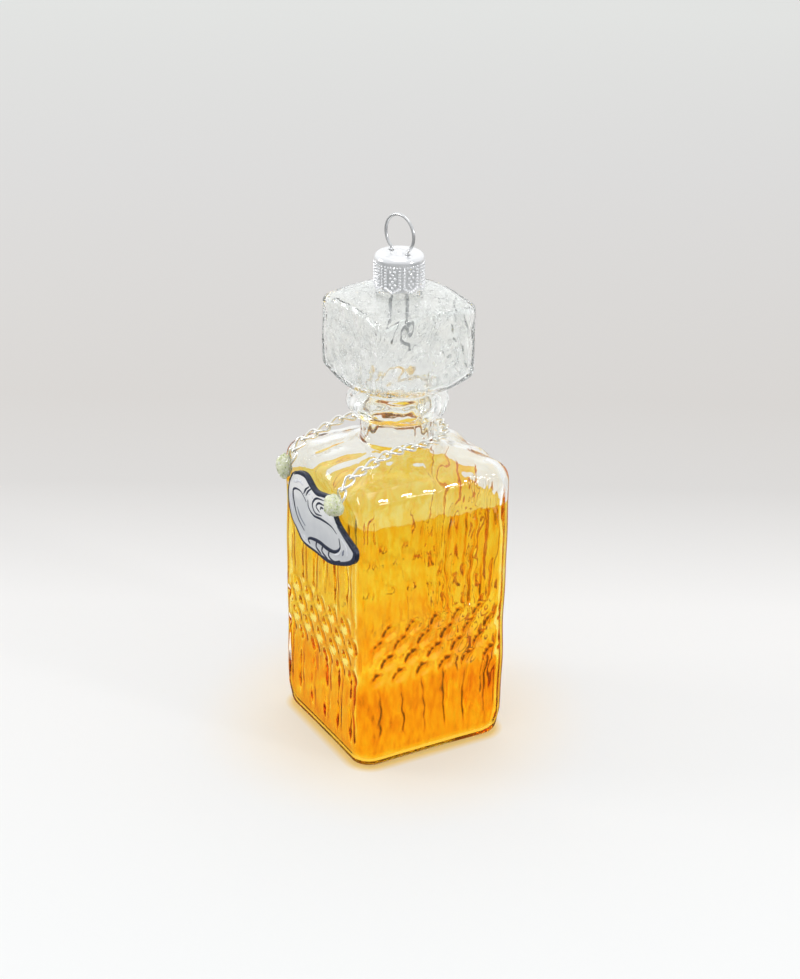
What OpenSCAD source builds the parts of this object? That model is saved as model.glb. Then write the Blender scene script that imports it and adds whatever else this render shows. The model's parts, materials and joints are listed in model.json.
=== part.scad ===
// Blown-glass hanging decanter: a hollow square bottle with its square stopper blown in
// one piece, amber lacquer inside, a pressed cap with a spring-wire hanger on the open
// top neck, and a curb chain round the bottle neck that carries a label plate.
// Units are millimetres. +Z is up, the base stands on z = 0 and the axis is x = y = 0.
// The label is on the -Y side.

/* [Glass body] */
// Width of the square body between its flat faces
body_w = 37; // [33:0.5:42]
// Radius of the body's upright corners
corner_r = 2.8; // [2.4:0.1:4]
// Height at which the flat faces turn into the shoulder
shoulder_z = 63; // [56:0.5:72]
// Radius of the turn from face to shoulder
shoulder_r = 4; // [3.5:0.1:4.6]
// Slope of the shoulder above the horizontal, in degrees
shoulder_slope = 20; // [16:1:24]
// Radius of the edge round the base
base_r = 1.6; // [1.2:0.1:2.2]
// Thickness of the blown glass
glass_t = 0.9; // [0.6:0.05:1.2]

/* [Pressed pattern] */
// Number of upright flutes on each face
flutes = 7; // [5:1:9]
// Height of a flute above the face
flute_h = 0.3; // [0.15:0.05:0.45]
// Width of the plain joint between two flutes
flute_gap = 0.5; // [0.3:0.1:1]
// Height of the lowest point of the flutes
flute_z = 3.6; // [3:0.2:6]
// Height of the bottom of the band of slanted cuts
band_z = 20; // [16:0.5:24]
// Height of the band of slanted cuts
band_h = 15; // [12:0.5:18]
// Number of rows of slanted cuts in the band
band_rows = 4; // [3:1:5]

/* [Neck and lip] */
// Outer diameter of the bottle neck
neck_d = 16; // [14:0.2:17]
// Height of the middle of the rolled lip above the neck's foot
neck_h = 8.6; // [8:0.1:10.4]
// Diameter of the lip's rolled section
lip_roll_d = 6.4; // [5.6:0.1:6.8]

/* [Stopper block] */
// Width of the square stopper block
stopper_w = 24.6; // [22:0.2:27]
// Turn of the block about the upright axis against the body, in degrees
stopper_turn = 4; // [0:0.5:8]
// Radius of the block's upright corners
stopper_corner_r = 2.2; // [1.6:0.1:3]
// Height of the lowest point of the block's edge above the middle of the lip
throat_h = 5; // [4.4:0.1:6.6]
// Height of the block's face from its lowest to its highest point
stopper_h = 18.2; // [16:0.2:20]
// Radius of the domed underside
underside_r = 34; // [28:0.5:44]
// Radius of the gently crowned top
crown_r = 54; // [45:1:70]
// Height of the pressed pips on the block's faces
pip_h = 0.35; // [0.2:0.05:0.5]
// Radius of a pip at its foot
pip_r = 2; // [1.4:0.1:2.2]
// Radius of a pip at its top
pip_top_r = 1.1; // [0.8:0.1:1.3]
// Number of pips in a row on the block's faces
pips = 4; // [3:1:4]

/* [Top neck] */
// Outer diameter of the open neck under the cap
top_neck_d = 9.2; // [8.6:0.1:9.6]
// Height of that neck above the crown of the stopper
top_neck_h = 7.8; // [7.4:0.1:8.6]

/* [Amber lacquer] */
// Height of the lacquer's upper edge
fill_z = 58; // [40:1:61]
// Thickness of the lacquer film
film_t = 0.2; // [0.1:0.05:0.3]

/* [Cap] */
// Diameter of the cap over its pressed panels
cap_d = 11; // [10.8:0.1:12]
// Height of the cap's skirt and top
cap_h = 7.6; // [6.6:0.1:7.6]
// Thickness of the cap's sheet metal
cap_t = 0.3; // [0.2:0.05:0.35]
// Radius of the turn between the cap's skirt and top
cap_edge_r = 1.1; // [0.8:0.1:1.4]
// Number of pressed panels round the skirt
cap_panels = 8; // [6:1:10]

/* [Hanger wire] */
// Diameter of the spring wire
wire_d = 0.7; // [0.5:0.05:0.8]
// Diameter of the ring, on the wire's centre line
ring_d = 8.2; // [8:0.1:12]
// Distance of each leg from the axis where it goes through the cap
leg_x = 2.4; // [2.2:0.05:2.5]
// Distance of each leg's foot from the axis
foot_x = 2.6; // [2.4:0.05:2.7]
// Length of the legs below the cap's top
leg_len = 20.5; // [16:0.5:23]
// Turn of the ring about the upright axis, in degrees
wire_turn = 15; // [0:1:45]

/* [Chain] */
// Length of a link over the wire
link_l = 4.5; // [4.35:0.05:4.7]
// Width of a link over the wire
link_w = 2.7; // [2.5:0.05:2.9]
// Diameter of the link's wire
link_wire_d = 0.6; // [0.5:0.02:0.64]
// Play between two links where they hook together
link_play = 0.1; // [0.06:0.02:0.14]
// Twist of a link: how far its wire rises and falls from flat
link_rise = 0.45; // [0.42:0.01:0.5]
// Height of the chain's middle above the neck's foot
chain_rise = 1.6; // [1.5:0.1:2.2]

/* [Label] */
// Width of the label plate
label_w = 31; // [28:0.5:33]
// Height of the label plate
label_h = 16.6; // [15:0.2:17]
// Thickness of the label plate
label_t = 1; // [0.8:0.1:1.2]
// Sideways place of the plate's middle from the bottle's middle
label_shift = 4.2; // [3.6:0.1:4.8]
// Distance of each glitter bead from the bottle's middle
bead_x = 11.6; // [11:0.1:12]
// Diameter of a glitter bead without its lumps
bead_d = 4.4; // [4.2:0.1:4.8]

/* [Hidden] */
$fn = 64;
overrun = 1;         // how far a cut runs past what it cuts
seat_gap = 0.3;      // clearance between loose pieces and the glass
bore_gap = 0.2;      // clearance of a wire in its hole
film_gap = 0.02;     // clearance between the lacquer's face and the glass
face_x = body_w / 2;

// Shoulder: the turn's end and the slope above it, on the outside of the glass
turn_c = face_x - shoulder_r;
turn_end = 90 - shoulder_slope;
fillet_r = 0.8;      // fillet where the neck stands on the shoulder

// Neck, lip and throat
neck_r = neck_d / 2;
neck_foot_z = shoulder_z + shoulder_r * sin(turn_end)
    + (turn_c + shoulder_r * cos(turn_end) - neck_r) * tan(shoulder_slope);
lip_z = neck_foot_z + neck_h;
lip_roll_r = lip_roll_d / 2;
throat_share = 0.6;  // how far the throat stands out from the neck, as a share of the glass
throat_r = neck_r + throat_share * glass_t;

// Stopper block and the neck on top of it
half_stopper = stopper_w / 2;
stopper_z = lip_z + throat_h;
underside_z = stopper_z + sqrt(underside_r * underside_r - half_stopper * half_stopper);
crown_edge_z = stopper_z + stopper_h;
crown_c_z = crown_edge_z - sqrt(crown_r * crown_r - half_stopper * half_stopper);
crown_z = crown_c_z + crown_r;
top_neck_r = top_neck_d / 2;
top_neck_z = crown_z + top_neck_h;
rim_share = 0.8;     // the top neck's wall as a share of the glass
bore_r = top_neck_r - rim_share * glass_t;
rim_r = 0.4;         // rounding of the top neck's rim
foot_flare = 1.0;    // width and height of the flare at the top neck's foot
bore_foot_z = crown_edge_z - foot_flare;

// Cap
cap_r = cap_d / 2;
panel_h = 0.25;      // how far the pressed panels stand out
skirt_r = cap_r - panel_h;
cap_top_z = top_neck_z + cap_t;
button_r = 1.6;      // pressed button between the wire holes
button_h = 0.4;
hole_r = wire_d / 2 + bore_gap;

// Hanger wire
ring_r = ring_d / 2;
ring_end = acos(leg_x / ring_r);
leg_top_z = cap_top_z + wire_d;
ring_z = leg_top_z + ring_r * sin(ring_end);
foot_z = cap_top_z - leg_len;
hook_l = 1.1;        // length of the turned-out foot
bend_share = 0.52;   // the wire swells a little where it is bent
wire_bend_r = bend_share * wire_d;
hook_rise = 50;      // angle of the foot above the horizontal

// Chain path: round the back of the neck, forward along the shoulder, down its slope,
// over its turn and down the front to the label
chain_z = neck_foot_z + chain_rise;
link_half_l = (link_l - link_wire_d) / 2;
link_half_w = (link_w - link_wire_d) / 2;
link_half_t = link_rise + link_wire_d / 2;
pitch = link_l - 2 * link_wire_d - link_play;
loop_play = 0.8;     // how loosely the chain goes round the neck
chain_r = neck_r + link_w / 2 + loop_play;
pairs = 12;          // links on each side of the one at the back
bend_r = shoulder_r + flute_h + link_half_t + seat_gap;
slope_foot = [turn_c + bend_r * cos(turn_end), shoulder_z + bend_r * sin(turn_end)];
arc_len = chain_r * PI / 2;
slope_len = (chain_z - slope_foot[1]) / sin(shoulder_slope);
level_len = slope_foot[0] - slope_len * cos(shoulder_slope);
bend_len = bend_r * turn_end * PI / 180;
half_len = (pairs + 0.5) * pitch;
link_rings = 20;
link_sides = 6;

// Label and glitter beads
plate_gap = 0.8;     // from the flutes to the back of the plate
plate_y = -(face_x + flute_h + plate_gap);
bead_z = path(half_len)[2];
bead_y = -(face_x + flute_h + seat_gap + bead_d / 2);
ear_r = 1.9;         // rounded ear of the plate behind each bead
ear_tail_share = 1.5;
ear_neck_share = 0.8;
ear_drop = ear_r + link_wire_d + link_play + bore_gap;
bead_rise_share = 0.44;
label_z = bead_z - bead_rise_share * label_h;
lumps = 6;           // lumps of glue on a bead
lump_out_share = 0.24;
lump_share = 0.34;
// Points on the label's edge as shares of its width and height
label_shares = [
    [-0.43, 0.38], [-0.34, 0.47], [-0.23, 0.5], [-0.1, 0.39], [0.03, 0.43], [0.13, 0.45],
    [0.22, 0.2], [0.37, 0.08], [0.49, 0], [0.48, -0.16], [0.37, -0.3], [0.13, -0.47],
    [-0.08, -0.49], [-0.27, -0.5], [-0.38, -0.37], [-0.46, -0.25], [-0.5, -0.03], [-0.49, 0.19]];
edge_steps = 5;      // straight steps between two of those points

// Flutes and slanted cuts
pattern_half = face_x - corner_r - flute_gap / 2;   // half width of the pattern on a face
flute_pitch = 2 * pattern_half / flutes;
flute_half = (flute_pitch - flute_gap) / 2;
flute_r = (flute_half * flute_half + flute_h * flute_h) / (2 * flute_h);
flute_axis = face_x + flute_h - flute_r;
flute_top = shoulder_z - shoulder_r;
row_h = band_h / band_rows;
cut_angle = 38;      // slant of a cut from upright
cut_share = 0.95;    // length of a cut as a share of its row's height
cut_l = cut_share * row_h;

// Pips on the stopper block
pip_pitch = (stopper_w - 2 * stopper_corner_r) / pips;
pip_out = norm([half_stopper, (pips - 1) / 2 * pip_pitch + pip_r]);   // outer side of a row
pips_foot_z = underside_z - sqrt(underside_r * underside_r - pip_out * pip_out);
pips_top_z = crown_c_z + sqrt(crown_r * crown_r - pip_out * pip_out);
pip_rows = floor((pips_top_z - pips_foot_z) / pip_pitch);

// Pressed panels of the cap
cap_foot_z = cap_top_z - cap_h;
panel_z = cap_foot_z + cap_edge_r;
panel_share = 0.75;
panel_w = panel_share * 2 * PI * skirt_r / cap_panels;

// Roundings of the glass outline
least_r = 0.2;       // smallest rounding left on an inner edge
foot_steps = 4;
turn_steps = 8;

sides = ["left", "right"];

function link_name(side, k) = str("chain_link_", side, "_", k < 10 ? "0" : "", k);
function unit(v) = v / norm(v);
function on_side(v, side) = side == "left" ? [-v[0], v[1], v[2]] : v;
function arc_points(c, r, from, to, steps) =
    [for (i = [0 : steps]) let (a = from + (to - from) * i / steps) c + r * [cos(a), sin(a)]];

module rounded_square(w, r) {
    square([w - 2 * r, w], center = true);
    square([w, w - 2 * r], center = true);
    for (x = [-1, 1]) for (y = [-1, 1]) translate([x, y] * (w / 2 - r)) circle(r);
}

// The body's outline from the side, set in from the outside of the glass by t
module body_outline(t) {
    foot_r = max(base_r - t, least_r);
    half = concat(
        arc_points([face_x - t - foot_r, t + foot_r], foot_r, -90, 0, foot_steps),
        arc_points([turn_c, shoulder_z], shoulder_r - t, 0, turn_end, turn_steps));
    top = half[len(half) - 1];
    peak = [0, top[1] + top[0] * tan(shoulder_slope)];
    polygon(concat(half, [peak], [for (i = [len(half) - 1 : -1 : 0]) [-half[i][0], half[i][1]]]));
}

module body_solid(t) {
    intersection() {
        rotate([90, 0, 0]) linear_extrude(2 * body_w, center = true) body_outline(t);
        rotate([90, 0, 90]) linear_extrude(2 * body_w, center = true) body_outline(t);
        linear_extrude(2 * shoulder_z) rounded_square(body_w - 2 * t, corner_r - t);
    }
}

// One face's flutes and slanted cuts, standing out of the face x = face_x
module face_pattern(slant) {
    for (i = [0 : flutes - 1]) translate([flute_axis, (i - (flutes - 1) / 2) * flute_pitch, 0]) {
        translate([0, 0, flute_z]) cylinder(h = band_z - flute_z, r = flute_r);
        translate([0, 0, band_z + band_h]) cylinder(h = flute_top - band_z - band_h, r = flute_r);
        for (row = [0 : band_rows - 1])
            translate([0, 0, band_z + (row + 0.5) * row_h])
                rotate([slant * cut_angle, 0, 0])
                    cylinder(h = cut_l, r = flute_r, center = true);
    }
}

module all_patterns() {
    for (i = [0 : 3]) rotate([0, 0, 90 * i]) intersection() {
        face_pattern(i % 2 == 0 ? -1 : 1);
        translate([face_x - glass_t / 2, -pattern_half, flute_z / 2])
            cube([flute_h + glass_t / 2 + overrun, 2 * pattern_half, shoulder_z]);
    }
}

// The stopper block, set in from the outside of the glass by t
module block_solid(t) {
    intersection() {
        translate([0, 0, lip_z]) rotate([0, 0, stopper_turn]) linear_extrude(crown_z - lip_z)
            rounded_square(stopper_w - 2 * t, stopper_corner_r - t);
        translate([0, 0, underside_z]) sphere(underside_r - t);
        translate([0, 0, crown_c_z]) sphere(crown_r - t);
    }
}

module block_pips() {
    for (turn = [0 : 90 : 270]) rotate([0, 0, turn + stopper_turn])
        for (i = [0 : pips - 1]) for (row = [0 : pip_rows - 1])
            translate([half_stopper - glass_t / 2, (i - (pips - 1) / 2) * pip_pitch,
                       (pips_foot_z + pips_top_z) / 2 + (row - (pip_rows - 1) / 2) * pip_pitch])
                rotate([0, 90, 0]) cylinder(h = pip_h + glass_t / 2, r1 = pip_r, r2 = pip_top_r);
}

// Neck, rolled lip and the throat above it, set in by t
module neck_solid(t) {
    translate([0, 0, shoulder_z]) cylinder(h = lip_z - shoulder_z, r = neck_r - t);
    rotate_extrude() translate([neck_r, lip_z]) circle(lip_roll_r - t);
    translate([0, 0, lip_z]) cylinder(h = stopper_z - lip_z, r = throat_r - t);
}

module neck_fillet() {
    foot = neck_foot_z - fillet_r;
    rotate_extrude() difference() {
        translate([neck_r - glass_t / 2, foot]) square([fillet_r + glass_t / 2, 2 * fillet_r]);
        translate([neck_r + fillet_r, foot + 2 * fillet_r]) circle(fillet_r);
    }
}

module top_neck_solid() {
    rotate_extrude() {
        translate([0, crown_c_z]) square([top_neck_r, top_neck_z - rim_r - crown_c_z]);
        translate([0, top_neck_z - 2 * rim_r]) square([top_neck_r - rim_r, 2 * rim_r]);
        translate([top_neck_r - rim_r, top_neck_z - rim_r]) circle(rim_r);
    }
    rotate_extrude() difference() {
        translate([0, crown_z - foot_flare]) square([top_neck_r + foot_flare, 2 * foot_flare]);
        translate([top_neck_r + foot_flare, crown_z + foot_flare]) circle(foot_flare);
    }
}

module decanter_glass() {
    color("gainsboro", 0.5) difference() {
        union() {
            body_solid(0);
            all_patterns();
            neck_solid(0);
            neck_fillet();
            block_solid(0);
            block_pips();
            intersection() {
                top_neck_solid();
                translate([0, 0, crown_edge_z - glass_t])
                    cylinder(h = cap_h + stopper_h, r = half_stopper);
            }
        }
        body_solid(glass_t);
        neck_solid(glass_t);
        block_solid(glass_t);
        translate([0, 0, bore_foot_z]) cylinder(h = top_neck_z + overrun - bore_foot_z, r = bore_r);
    }
}

module amber_lacquer() {
    color("orange", 0.7) intersection() {
        difference() {
            body_solid(glass_t + film_gap);
            body_solid(glass_t + film_gap + film_t);
        }
        translate([-face_x, -face_x, 0]) cube([body_w, body_w, fill_z]);
    }
}

module cap_outline(t) {
    r = skirt_r - t;
    top = cap_top_z - t;
    edge = cap_edge_r - t;
    translate([0, cap_foot_z]) square([r, top - edge - cap_foot_z]);
    translate([0, top - cap_edge_r]) square([r - edge, cap_edge_r]);
    translate([r - edge, top - edge]) circle(edge);
}

module cap_outline_half(t) {
    intersection() {
        cap_outline(t);
        translate([0, cap_foot_z]) square([cap_r, cap_h]);
    }
}

module ornament_cap() {
    color("silver") difference() {
        union() {
            rotate_extrude() cap_outline_half(0);
            translate([0, 0, cap_top_z - cap_t]) cylinder(h = cap_t + button_h, r = button_r);
            intersection() {
                translate([0, 0, panel_z]) cylinder(h = cap_top_z - cap_edge_r - panel_z, r = cap_r);
                for (i = [0 : cap_panels / 2 - 1]) rotate([0, 0, 180 * i / (cap_panels / 2)])
                    translate([0, 0, panel_z + cap_h / 2])
                        cube([2 * cap_d, panel_w, cap_h], center = true);
            }
        }
        rotate_extrude() cap_outline_half(cap_t);
        rotate([0, 0, wire_turn]) for (x = [-leg_x, leg_x])
            translate([x, 0, cap_top_z - cap_edge_r]) cylinder(h = cap_edge_r + overrun, r = hole_r);
    }
}

// A round wire from one point to another
module wire_piece(from, to) {
    v = to - from;
    translate(from) rotate([0, acos(v[2] / norm(v)), atan2(v[1], v[0])])
        cylinder(h = norm(v), r = wire_d / 2);
}

module hanger_wire() {
    color("lightgray") rotate([0, 0, wire_turn]) {
        translate([0, 0, ring_z]) rotate([90, 0, 0]) rotate([0, 0, -ring_end])
            rotate_extrude(angle = 180 + 2 * ring_end) translate([ring_r, 0]) circle(wire_d / 2);
        for (side = [-1, 1]) {
            top = [side * leg_x, 0, leg_top_z];
            foot = [side * foot_x, 0, foot_z];
            toe = foot + hook_l * [side * cos(hook_rise), 0, sin(hook_rise)];
            translate(top) sphere(wire_bend_r);
            wire_piece(top, foot);
            translate(foot) sphere(wire_bend_r);
            wire_piece(foot, toe);
        }
    }
}

// Point on the right-hand half of the chain's line, a length s from the back
function path(s) =
    let (q = s - arc_len,
         x = chain_r + (bead_x - chain_r) * max(q, 0) / (half_len - arc_len),
         down = q - level_len,
         over = down - slope_len,
         a = turn_end - over / bend_r * 180 / PI)
    q <= 0 ? [chain_r * sin(s / chain_r * 180 / PI), chain_r * cos(s / chain_r * 180 / PI), chain_z]
    : down <= 0 ? [x, -q, chain_z]
    : over <= 0 ? [x, -level_len - down * cos(shoulder_slope), chain_z - down * sin(shoulder_slope)]
    : a >= 0 ? [x, -turn_c - bend_r * cos(a), shoulder_z + bend_r * sin(a)]
    : [x, -turn_c - bend_r, shoulder_z - (over - bend_len)];

// Where link k hooks into link k + 1, on the right-hand side
function hook_point(k) = k < 0 ? on_side(path(0.5 * pitch), "left") : path((k + 0.5) * pitch);

// Direction that points away from the neck at link k
function outward(k) =
    let (a = k * pitch / chain_r * 180 / PI)
    k * pitch < arc_len ? [sin(a), cos(a), 0] : [1, 0, 0];

// The frame of link k: x along the chain, z square to the link's flat side
module link_frame(k, side) {
    from = on_side(hook_point(k - 1), side);
    to = on_side(hook_point(k), side);
    along = unit(to - from);
    away = on_side(outward(k), side);
    level = unit(away - (away * along) * along);
    flat = (side == "left" ? -1 : 1) * cross(along, level);
    wide = cross(flat, along);
    c = (from + to) / 2;
    multmatrix([[along[0], wide[0], flat[0], c[0]],
                [along[1], wide[1], flat[1], c[1]],
                [along[2], wide[2], flat[2], c[2]],
                [0, 0, 0, 1]])
        children();
}

// Centre line of a curb link, and the direction along it
function link_point(t) = [link_half_l * cos(t), link_half_w * sin(t), link_rise * sin(2 * t)];
function link_along(t) =
    unit([-link_half_l * sin(t), link_half_w * cos(t), 2 * link_rise * cos(2 * t)]);

// One ring of points round the link's wire
function wire_ring(t) =
    let (along = link_along(t),
         out = [link_half_w * cos(t), link_half_l * sin(t), 0],
         e1 = unit(out - (out * along) * along),
         e2 = cross(along, e1))
    [for (i = [0 : link_sides - 1])
        let (a = 360 * i / link_sides)
        link_point(t) + link_wire_d / 2 * (cos(a) * e1 + sin(a) * e2)];

module curb_link() {
    points = [for (j = [0 : link_rings - 1]) each wire_ring(360 * j / link_rings)];
    faces = [for (j = [0 : link_rings - 1]) for (i = [0 : link_sides - 1])
        let (j2 = (j + 1) % link_rings, i2 = (i + 1) % link_sides,
             a = j * link_sides + i, b = j * link_sides + i2,
             c = j2 * link_sides + i2, d = j2 * link_sides + i)
        each [[a, c, b], [a, d, c]]];
    polyhedron(points, faces);
}

module chain_link(k, side) {
    color("silver") link_frame(k, side) curb_link();
}

// Point at share u of the way from p1 to p2 on a smooth curve through all four points
function curve(p0, p1, p2, p3, u) =
    (2 * p1 + (p2 - p0) * u + (2 * p0 - 5 * p1 + 4 * p2 - p3) * u * u
     + (3 * p1 - p0 - 3 * p2 + p3) * u * u * u) / 2;

module label_outline() {
    points = [for (s = label_shares) [s[0] * label_w, s[1] * label_h]];
    n = len(points);
    polygon([for (i = [0 : n - 1]) for (j = [0 : edge_steps - 1])
        curve(points[(i + n - 1) % n], points[i], points[(i + 1) % n], points[(i + 2) % n],
              j / edge_steps)]);
}

module label_plate() {
    color("silver") translate([label_shift, plate_y, label_z]) rotate([90, 0, 0]) {
        linear_extrude(label_t) label_outline();
        for (x = [-bead_x, bead_x]) translate([x - label_shift, bead_z - ear_drop - label_z, 0]) {
            cylinder(h = label_t, r = ear_r);
            translate([-ear_neck_share, -ear_tail_share, 0] * ear_r)
                cube([2 * ear_neck_share * ear_r, ear_tail_share * ear_r, label_t]);
        }
    }
}

module glitter_bead(x) {
    color("beige") difference() {
        translate([x, bead_y, bead_z]) {
            sphere(bead_d / 2);
            for (i = [0 : lumps - 1]) rotate([0, 360 * i / lumps, 0])
                translate([bead_d * lump_out_share, 0, 0]) sphere(bead_d * lump_share);
        }
        label_plate();
        translate([x - link_w / 2 - bore_gap, hook_point(pairs)[1] - link_half_t - bore_gap,
                   bead_z - link_wire_d - link_play - bore_gap])
            cube([link_w + 2 * bore_gap, bead_d, bead_d + overrun]);
    }
}

decanter_glass();
amber_lacquer();
ornament_cap();
hanger_wire();
label_plate();
glitter_bead(-bead_x);  // glitter_bead_left
glitter_bead(bead_x);  // glitter_bead_right
chain_link(0, "right");  // chain_link_back
for (side = sides) for (k = [1 : pairs])
    chain_link(k, side);
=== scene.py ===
import json
import math
import bmesh
import bpy
import numpy as np
from mathutils import Matrix, Vector


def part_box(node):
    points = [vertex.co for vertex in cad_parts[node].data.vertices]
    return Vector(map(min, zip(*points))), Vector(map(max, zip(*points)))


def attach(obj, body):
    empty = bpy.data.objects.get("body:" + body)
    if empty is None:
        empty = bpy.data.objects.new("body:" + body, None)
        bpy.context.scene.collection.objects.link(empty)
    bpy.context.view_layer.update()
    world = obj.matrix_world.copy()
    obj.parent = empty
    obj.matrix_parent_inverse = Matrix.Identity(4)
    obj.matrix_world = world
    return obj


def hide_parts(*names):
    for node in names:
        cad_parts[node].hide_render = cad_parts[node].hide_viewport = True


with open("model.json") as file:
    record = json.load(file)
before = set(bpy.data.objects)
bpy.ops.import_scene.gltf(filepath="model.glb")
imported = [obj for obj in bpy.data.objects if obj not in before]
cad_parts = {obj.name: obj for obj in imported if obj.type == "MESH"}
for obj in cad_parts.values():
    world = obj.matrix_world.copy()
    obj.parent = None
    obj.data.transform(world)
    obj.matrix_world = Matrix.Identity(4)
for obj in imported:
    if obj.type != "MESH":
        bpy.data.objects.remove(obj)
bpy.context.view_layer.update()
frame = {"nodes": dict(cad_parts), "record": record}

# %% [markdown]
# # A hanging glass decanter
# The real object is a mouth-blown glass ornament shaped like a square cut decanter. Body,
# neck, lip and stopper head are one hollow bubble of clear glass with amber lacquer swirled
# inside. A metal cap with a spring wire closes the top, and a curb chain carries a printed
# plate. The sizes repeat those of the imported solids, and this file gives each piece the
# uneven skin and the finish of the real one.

# %% [markdown]
# ## Helpers
# Sizes are written in millimetres and are turned to metres when a mesh is made. Colours are
# written as sRGB hex, and one function turns them to the linear light of the shaders.

# %% Units and colours
MM = 0.001


def linear(hex_code, alpha=1.0):
    parts = [int(hex_code[i:i + 2], 16) / 255 for i in (1, 3, 5)]
    return [p / 12.92 if p <= 0.04045 else ((p + 0.055) / 1.055) ** 2.4 for p in parts] + [alpha]


def node_box(name):
    low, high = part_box(name)
    return np.array(low) / MM, np.array(high) / MM


def unit(vectors):
    return vectors / np.linalg.norm(vectors, axis=-1, keepdims=True)


def whole_turn(steps):
    return np.linspace(0, 2 * math.pi, steps, endpoint=False)


def closed_direction(line):
    """Direction of a closed line at each of its points, not yet of unit length."""
    return np.roll(line, -1, 0) - np.roll(line, 1, 0)


print("mid grey in linear light:", [round(v, 3) for v in linear("#808080")])

# %% [markdown]
# A mesh is made from a list of points in millimetres and a list of faces. Most pieces here
# are grids: rings of points, one after another, joined by four-sided faces.

# %% Making a mesh
def make_piece(name, points, faces, materials, body, smooth=True):
    mesh = bpy.data.meshes.new(name)
    mesh.from_pydata((np.asarray(points, float) * MM).tolist(), [], faces)
    mesh.validate()
    if smooth:
        mesh.shade_smooth()
    for material in materials:
        mesh.materials.append(material)
    piece = bpy.data.objects.new(name, mesh)
    bpy.context.scene.collection.objects.link(piece)
    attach(piece, body)
    return piece


def ring_faces(rings, around, start=0, flip=False):
    faces = []
    for j in range(rings - 1):
        a, b = start + j * around, start + (j + 1) * around
        for i in range(around):
            k = (i + 1) % around
            face = (a + i, a + k, b + k, b + i)
            faces.append(face[::-1] if flip else face)
    return faces


def stack_faces(rings, around, start=0, flip=False):
    """A stack of rings, closed by one face at its first ring and one at its last."""
    first = tuple(range(start, start + around))
    last = tuple(i + (rings - 1) * around for i in first)
    ends = [first, last[::-1]] if flip else [first[::-1], last]
    return ring_faces(rings, around, start, flip) + ends


def shell_faces(outer_rings, inner_rings, around):
    """Outer rings from the base's middle to the rim, then inner rings in the same order."""
    count = outer_rings * around
    faces = ring_faces(outer_rings, around)
    faces += ring_faces(inner_rings, around, count, flip=True)
    last_out, last_in = count - around, count + (inner_rings - 1) * around
    for i in range(around):
        k = (i + 1) % around
        faces.append((last_out + i, last_out + k, last_in + k, last_in + i))
    faces.append(tuple(range(around))[::-1])
    faces.append(tuple(range(count, count + around)))
    return faces


print("mesh helpers ready")

# %% [markdown]
# One helper adds any node, sets or links its inputs and gives back one of its outputs. An
# input that is another node's output becomes a link.

# %% Adding shader nodes
def add_node(tree, kind, inputs=(), stops=(), out=0, **settings):
    """Add a node and return one output. Inputs go by name or in their order. The stops of a
    colour ramp are pairs of a place and an sRGB hex code."""
    node = tree.nodes.new("ShaderNode" + kind)
    for key, value in settings.items():
        setattr(node, key, value)
    named = inputs if isinstance(inputs, dict) else dict(enumerate(inputs))
    for key, value in named.items():
        if isinstance(value, bpy.types.NodeSocket):
            tree.links.new(value, node.inputs[key])
        else:
            node.inputs[key].default_value = value
    if stops:
        elements = node.color_ramp.elements
        while len(elements) < len(stops):
            elements.new(0.5)
        for element, (place, hex_code) in zip(elements, stops):
            element.position, element.color = place, linear(hex_code)
    return node.outputs[out]


def start_material(name, **values):
    material = bpy.data.materials.new(name)
    material.use_nodes = True
    shader = material.node_tree.nodes["Principled BSDF"]
    for key, value in values.items():
        shader.inputs[key.replace("_", " ")].default_value = value
    return material, material.node_tree, shader


def per_mm(size):
    """Noise scale, in cycles per metre, for features of this many millimetres."""
    return 1 / (size * MM)


print("noise scale for 1 mm features:", per_mm(1.0))

# %% [markdown]
# ## Clear glass
# Soda-lime glass blown into a mould has an IOR near 1.5 and a fire-polished skin, so its
# roughness is almost nothing. What the eye reads as "hand-made" is the slow waviness of
# the skin, which belongs in the mesh, and the cords in the glass, which are a faint bump.
# The hammered mould left the head a little frosted in patches and along broken ripples, so
# it is milky there.

# %% Material: blown soda-lime glass
FROST_STARTS, FROST_FULL = 81 * MM, 86 * MM
SKIN = {"Roughness": (0.02, 0.1), "Transmission Weight": (1.0, 0.88)}   # clear, frosted
blown_glass, tree, shader = start_material(
    "blown soda-lime glass", Base_Color=linear("#FBFDFC"), Roughness=0.02, IOR=1.48,
    Transmission_Weight=1.0)
spot = add_node(tree, "TexCoord", out="Object")     # in metres, because no piece is scaled
height = add_node(tree, "SeparateXYZ", (spot,), out="Z")
head = add_node(tree, "MapRange", (height, FROST_STARTS, FROST_FULL))
cords, clouds, gaps = (add_node(tree, "TexNoise", {"Scale": per_mm(size), "Vector": spot})
                       for size in (2.5, 3.2, 2.2))
patch = add_node(tree, "MapRange", (clouds, 0.42, 0.62))
bent = add_node(tree, "MixRGB", (0.0025, spot, cords.node.outputs["Color"]), blend_type="ADD")
cells = add_node(tree, "TexVoronoi", {"Scale": per_mm(2.6), "Vector": bent},
                 feature="DISTANCE_TO_EDGE")
ridge = add_node(tree, "MapRange", (cells, 0.09, 0.02, 0.0, 3.0))
broken = add_node(tree, "MapRange", (gaps, 0.5, 0.62))
lines = add_node(tree, "Math", (ridge, broken), operation="MULTIPLY")
ripples, patches = (add_node(tree, "Math", (head, more), operation="MULTIPLY")
                    for more in (lines, patch))
frost = add_node(tree, "Math", (patches, ripples), operation="ADD")
for key, (clear, frosted) in SKIN.items():
    value = add_node(tree, "MapRange", (frost, 0.0, 1.0, clear, frosted), clamp=False)
    tree.links.new(value, shader.inputs[key])
bump = add_node(tree, "Bump", {"Height": cords, "Strength": 0.3, "Distance": 0.1 * MM})
tree.links.new(bump, shader.inputs["Normal"])
print("made", blown_glass.name)

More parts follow.
